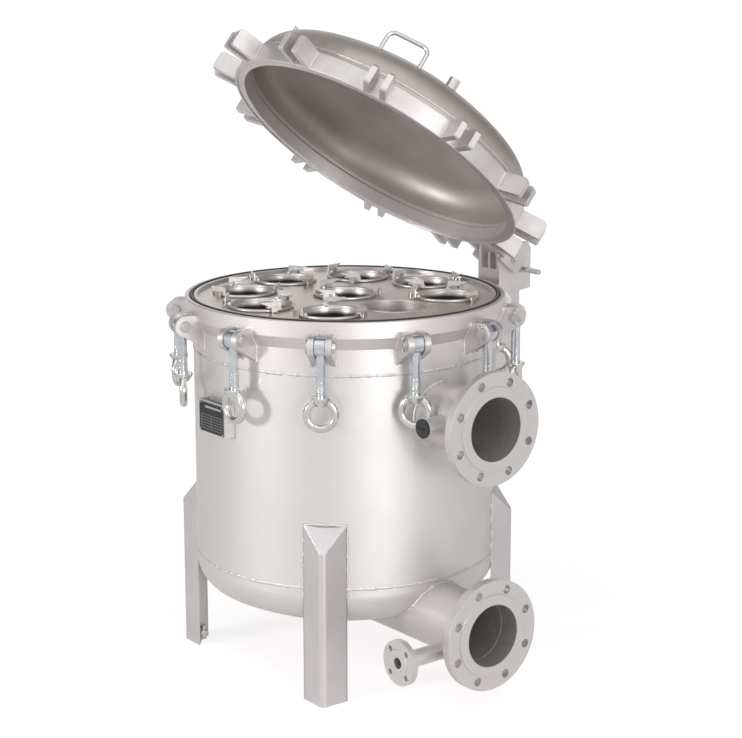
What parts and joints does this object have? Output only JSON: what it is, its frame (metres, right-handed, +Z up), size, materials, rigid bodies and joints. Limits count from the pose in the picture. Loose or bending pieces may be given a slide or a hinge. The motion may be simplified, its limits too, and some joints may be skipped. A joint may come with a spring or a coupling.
{
  "type": "filter housing",
  "caption": "Multi-bag filter vessel on angle legs with a hinged dished lid held open, swing bolts with eye nuts, side inlet, low outlet and a drain branch.",
  "frame": {"origin": "on the floor under the vessel's axis", "axes": "+Z up along the vessel's axis; the inlet and outlet flanges face -Y; the lid's hinge is on +X"},
  "size_m": [1.0895, 1.0791, 1.6722],
  "materials": {
    "shell_steel": "bead-blasted stainless",
    "frame_steel": "pickled stainless plate",
    "inner_steel": "machined stainless",
    "dome_steel": "blasted stainless",
    "gasket": "satin",
    "pipe_steel": "blasted stainless",
    "flange_steel": "blasted, turned face",
    "plug_black": "satin",
    "plate_black": "satin",
    "pin_steel": "turned",
    "fitting_steel": "satin",
    "bolt_zinc": "bright zinc plate",
    "nut_zinc": "bright zinc plate",
    "hold_down_steel": "polished stainless"
  },
  "bodies": {
    "housing": {"shell": "shell_steel", "bottom_head": "shell_steel", "closure_ring": "frame_steel", "tube_plate": "inner_steel", "o_ring": "gasket", "inlet_pipe": "pipe_steel", "inlet_flange": "flange_steel", "outlet_pipe": "pipe_steel", "outlet_flange": "flange_steel", "branches": "pipe_steel", "drain_flange": "flange_steel", "legs": "frame_steel", "foot_bolts": "pin_steel", "bolt_lugs": "frame_steel", "lug_pins": "pin_steel", "hinge_post": "frame_steel", "hinge_pins": "pin_steel", "plate_bracket": "shell_steel", "name_plate": "plate_black", "bag_baskets": "inner_steel"},
    "lid": {"lid_ring": "frame_steel", "lid_dome": "dome_steel", "lid_lugs": "frame_steel", "lid_arms": "frame_steel", "lid_handle": "fitting_steel", "lid_fittings": "fitting_steel"},
    "plug": {"plug": "plug_black"},
    "swing_bolt_01": {"swing_bolt_01": "bolt_zinc"},
    "eye_nut_01": {"eye_nut_01": "nut_zinc"},
    "swing_bolt_02": {"swing_bolt_02": "bolt_zinc"},
    "eye_nut_02": {"eye_nut_02": "nut_zinc"},
    "swing_bolt_03": {"swing_bolt_03": "bolt_zinc"},
    "eye_nut_03": {"eye_nut_03": "nut_zinc"},
    "swing_bolt_04": {"swing_bolt_04": "bolt_zinc"},
    "eye_nut_04": {"eye_nut_04": "nut_zinc"},
    "swing_bolt_05": {"swing_bolt_05": "bolt_zinc"},
    "eye_nut_05": {"eye_nut_05": "nut_zinc"},
    "swing_bolt_06": {"swing_bolt_06": "bolt_zinc"},
    "eye_nut_06": {"eye_nut_06": "nut_zinc"},
    "swing_bolt_07": {"swing_bolt_07": "bolt_zinc"},
    "eye_nut_07": {"eye_nut_07": "nut_zinc"},
    "swing_bolt_08": {"swing_bolt_08": "bolt_zinc"},
    "eye_nut_08": {"eye_nut_08": "nut_zinc"},
    "swing_bolt_09": {"swing_bolt_09": "bolt_zinc"},
    "eye_nut_09": {"eye_nut_09": "nut_zinc"},
    "swing_bolt_10": {"swing_bolt_10": "bolt_zinc"},
    "eye_nut_10": {"eye_nut_10": "nut_zinc"},
    "swing_bolt_11": {"swing_bolt_11": "bolt_zinc"},
    "eye_nut_11": {"eye_nut_11": "nut_zinc"},
    "swing_bolt_12": {"swing_bolt_12": "bolt_zinc"},
    "eye_nut_12": {"eye_nut_12": "nut_zinc"},
    "hold_down_1": {"hold_down_1": "hold_down_steel"},
    "hold_down_2": {"hold_down_2": "hold_down_steel"},
    "hold_down_3": {"hold_down_3": "hold_down_steel"},
    "hold_down_4": {"hold_down_4": "hold_down_steel"},
    "hold_down_5": {"hold_down_5": "hold_down_steel"},
    "hold_down_6": {"hold_down_6": "hold_down_steel"},
    "hold_down_7": {"hold_down_7": "hold_down_steel"},
    "hold_down_8": {"hold_down_8": "hold_down_steel"}
  },
  "joints": [
    {"name": "lid_hinge", "type": "hinge", "parent": "housing", "child": "lid", "pos_m": [0.55, 0, 1.022], "axis": [0, -1, 0], "range_deg": [0, 38.4]},
    {"name": "plug_turn", "type": "hinge", "parent": "housing", "child": "plug", "pos_m": [-0.143, -0.49697, 0.735], "axis": [-1, 0, 0], "continuous": true},
    {"name": "swing_bolt_01_swing", "type": "hinge", "parent": "housing", "child": "swing_bolt_01", "pos_m": [0.43467, 0.11647, 0.93], "axis": [0.2588, -0.9659, 0], "range_deg": [0, 130]},
    {"name": "eye_nut_01_turn", "type": "hinge", "parent": "swing_bolt_01", "child": "eye_nut_01", "pos_m": [0.43467, 0.11647, 0.806], "axis": [0, 0, 1], "continuous": true},
    {"name": "swing_bolt_02_swing", "type": "hinge", "parent": "housing", "child": "swing_bolt_02", "pos_m": [0.3182, 0.3182, 0.93], "axis": [0.7071, -0.7071, 0], "range_deg": [0, 150]},
    {"name": "eye_nut_02_turn", "type": "hinge", "parent": "swing_bolt_02", "child": "eye_nut_02", "pos_m": [0.3182, 0.3182, 0.806], "axis": [0, 0, 1], "continuous": true},
    {"name": "swing_bolt_03_swing", "type": "hinge", "parent": "housing", "child": "swing_bolt_03", "pos_m": [0.11647, 0.43467, 0.93], "axis": [0.9659, -0.2588, 0], "range_deg": [0, 180]},
    {"name": "eye_nut_03_turn", "type": "hinge", "parent": "swing_bolt_03", "child": "eye_nut_03", "pos_m": [0.11647, 0.43467, 0.806], "axis": [0, 0, 1], "continuous": true},
    {"name": "swing_bolt_04_swing", "type": "hinge", "parent": "housing", "child": "swing_bolt_04", "pos_m": [-0.11647, 0.43467, 0.93], "axis": [0.9659, 0.2588, 0], "range_deg": [0, 180]},
    {"name": "eye_nut_04_turn", "type": "hinge", "parent": "swing_bolt_04", "child": "eye_nut_04", "pos_m": [-0.11647, 0.43467, 0.806], "axis": [0, 0, 1], "continuous": true},
    {"name": "swing_bolt_05_swing", "type": "hinge", "parent": "housing", "child": "swing_bolt_05", "pos_m": [-0.3182, 0.3182, 0.93], "axis": [0.7071, 0.7071, 0], "range_deg": [0, 180]},
    {"name": "eye_nut_05_turn", "type": "hinge", "parent": "swing_bolt_05", "child": "eye_nut_05", "pos_m": [-0.3182, 0.3182, 0.806], "axis": [0, 0, 1], "continuous": true},
    {"name": "swing_bolt_06_swing", "type": "hinge", "parent": "housing", "child": "swing_bolt_06", "pos_m": [-0.43467, 0.11647, 0.93], "axis": [0.2588, 0.9659, 0], "range_deg": [0, 180]},
    {"name": "eye_nut_06_turn", "type": "hinge", "parent": "swing_bolt_06", "child": "eye_nut_06", "pos_m": [-0.43467, 0.11647, 0.806], "axis": [0, 0, 1], "continuous": true},
    {"name": "swing_bolt_07_swing", "type": "hinge", "parent": "housing", "child": "swing_bolt_07", "pos_m": [-0.43467, -0.11647, 0.93], "axis": [-0.2588, 0.9659, 0], "range_deg": [0, 180]},
    {"name": "eye_nut_07_turn", "type": "hinge", "parent": "swing_bolt_07", "child": "eye_nut_07", "pos_m": [-0.43467, -0.11647, 0.806], "axis": [0, 0, 1], "continuous": true},
    {"name": "swing_bolt_08_swing", "type": "hinge", "parent": "housing", "child": "swing_bolt_08", "pos_m": [-0.3182, -0.3182, 0.93], "axis": [-0.7071, 0.7071, 0], "range_deg": [0, 180]},
    {"name": "eye_nut_08_turn", "type": "hinge", "parent": "swing_bolt_08", "child": "eye_nut_08", "pos_m": [-0.3182, -0.3182, 0.806], "axis": [0, 0, 1], "continuous": true},
    {"name": "swing_bolt_09_swing", "type": "hinge", "parent": "housing", "child": "swing_bolt_09", "pos_m": [-0.11647, -0.43467, 0.93], "axis": [-0.9659, 0.2588, 0], "range_deg": [0, 1]},
    {"name": "eye_nut_09_turn", "type": "hinge", "parent": "swing_bolt_09", "child": "eye_nut_09", "pos_m": [-0.11647, -0.43467, 0.806], "axis": [0, 0, 1], "range_deg": [-4, 4]},
    {"name": "swing_bolt_10_swing", "type": "hinge", "parent": "housing", "child": "swing_bolt_10", "pos_m": [0.11647, -0.43467, 0.93], "axis": [-0.9659, -0.2588, 0], "range_deg": [0, 180]},
    {"name": "eye_nut_10_turn", "type": "hinge", "parent": "swing_bolt_10", "child": "eye_nut_10", "pos_m": [0.11647, -0.43467, 0.806], "axis": [0, 0, 1], "range_deg": [-50, 25]},
    {"name": "swing_bolt_11_swing", "type": "hinge", "parent": "housing", "child": "swing_bolt_11", "pos_m": [0.3182, -0.3182, 0.93], "axis": [-0.7071, -0.7071, 0], "range_deg": [0, 150]},
    {"name": "eye_nut_11_turn", "type": "hinge", "parent": "swing_bolt_11", "child": "eye_nut_11", "pos_m": [0.3182, -0.3182, 0.806], "axis": [0, 0, 1], "continuous": true},
    {"name": "swing_bolt_12_swing", "type": "hinge", "parent": "housing", "child": "swing_bolt_12", "pos_m": [0.43467, -0.11647, 0.93], "axis": [-0.2588, -0.9659, 0], "range_deg": [0, 130]},
    {"name": "eye_nut_12_turn", "type": "hinge", "parent": "swing_bolt_12", "child": "eye_nut_12", "pos_m": [0.43467, -0.11647, 0.806], "axis": [0, 0, 1], "continuous": true},
    {"name": "hold_down_1_turn", "type": "hinge", "parent": "housing", "child": "hold_down_1", "pos_m": [0, 0, 0.9755], "axis": [0, 0, 1], "range_deg": [0, 25]},
    {"name": "hold_down_2_turn", "type": "hinge", "parent": "housing", "child": "hold_down_2", "pos_m": [0.18951, -0.18951, 0.9755], "axis": [0, 0, 1], "range_deg": [0, 25]},
    {"name": "hold_down_3_turn", "type": "hinge", "parent": "housing", "child": "hold_down_3", "pos_m": [0.268, 0, 0.9755], "axis": [0, 0, 1], "range_deg": [0, 25]},
    {"name": "hold_down_4_turn", "type": "hinge", "parent": "housing", "child": "hold_down_4", "pos_m": [0.18951, 0.18951, 0.9755], "axis": [0, 0, 1], "range_deg": [0, 25]},
    {"name": "hold_down_5_turn", "type": "hinge", "parent": "housing", "child": "hold_down_5", "pos_m": [0, 0.268, 0.9755], "axis": [0, 0, 1], "range_deg": [0, 25]},
    {"name": "hold_down_6_turn", "type": "hinge", "parent": "housing", "child": "hold_down_6", "pos_m": [-0.18951, 0.18951, 0.9755], "axis": [0, 0, 1], "range_deg": [0, 25]},
    {"name": "hold_down_7_turn", "type": "hinge", "parent": "housing", "child": "hold_down_7", "pos_m": [-0.268, 0, 0.9755], "axis": [0, 0, 1], "range_deg": [0, 25]},
    {"name": "hold_down_8_turn", "type": "hinge", "parent": "housing", "child": "hold_down_8", "pos_m": [-0.18951, -0.18951, 0.9755], "axis": [0, 0, 1], "range_deg": [0, 25]}
  ]
}
